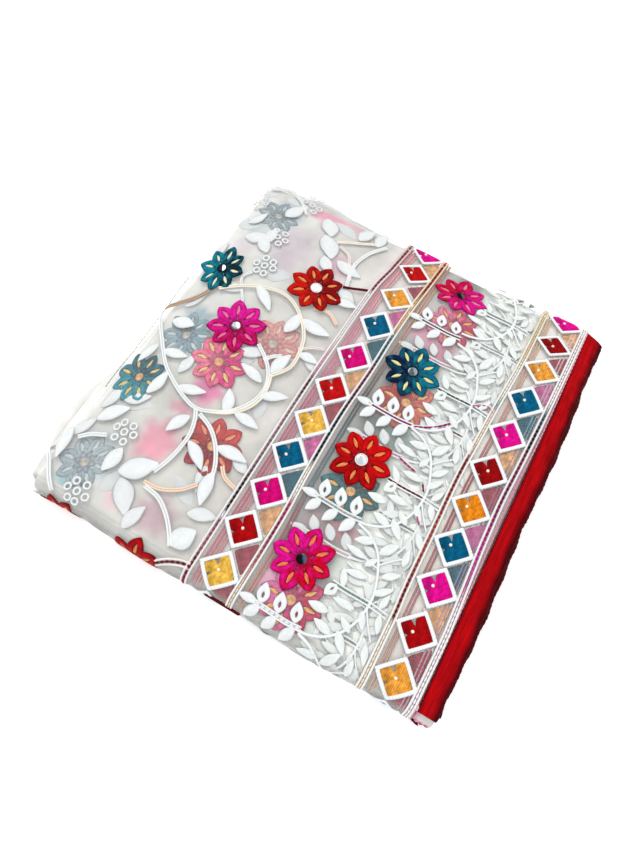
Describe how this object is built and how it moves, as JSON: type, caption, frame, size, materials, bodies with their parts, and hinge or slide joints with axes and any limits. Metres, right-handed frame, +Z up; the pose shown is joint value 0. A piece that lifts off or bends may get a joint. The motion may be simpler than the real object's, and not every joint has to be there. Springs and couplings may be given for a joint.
{
  "type": "phulkari shawl",
  "caption": "Sheer embroidered shawl folded into a flat square stack, with layered folds at the left and back and red edgings lying on each other along its right side.",
  "frame": {"origin": "middle of the folded stack's box, on the surface that it lies on", "axes": "+Z up; +X across the embroidered bands towards the red edging; +Y along the bands, away from the large front fold"},
  "size_m": [0.304, 0.3062, 0.0212],
  "materials": {
    "organza": "sheer white organza with a soft sheen",
    "folded_organza": "many layers of sheer white organza, milky grey between",
    "red_edging": "bright red woven edging, softly ribbed",
    "white_thread": "white satin stitch and chain stitch",
    "cream_thread": "cream to peach couched cord",
    "dark_thread": "shaded cord, maroon to black and teal",
    "red_thread": "red satin stitch",
    "pink_thread": "hot pink satin stitch",
    "teal_thread": "teal satin stitch",
    "orange_thread": "orange to gold satin stitch",
    "mirror": "small round mirror sequin",
    "bead": "small pearly bead"
  },
  "bodies": {
    "root": {"top_stretch": "organza", "second_stretch": "organza", "folded_layers": "folded_organza", "corner_fold": "organza", "red_edging_top": "red_edging", "red_edging_second": "red_edging", "red_edging_third": "red_edging", "red_edging_fourth": "red_edging", "folded_edgings": "red_edging", "corner_edging": "red_edging"}
  },
  "joints": []
}
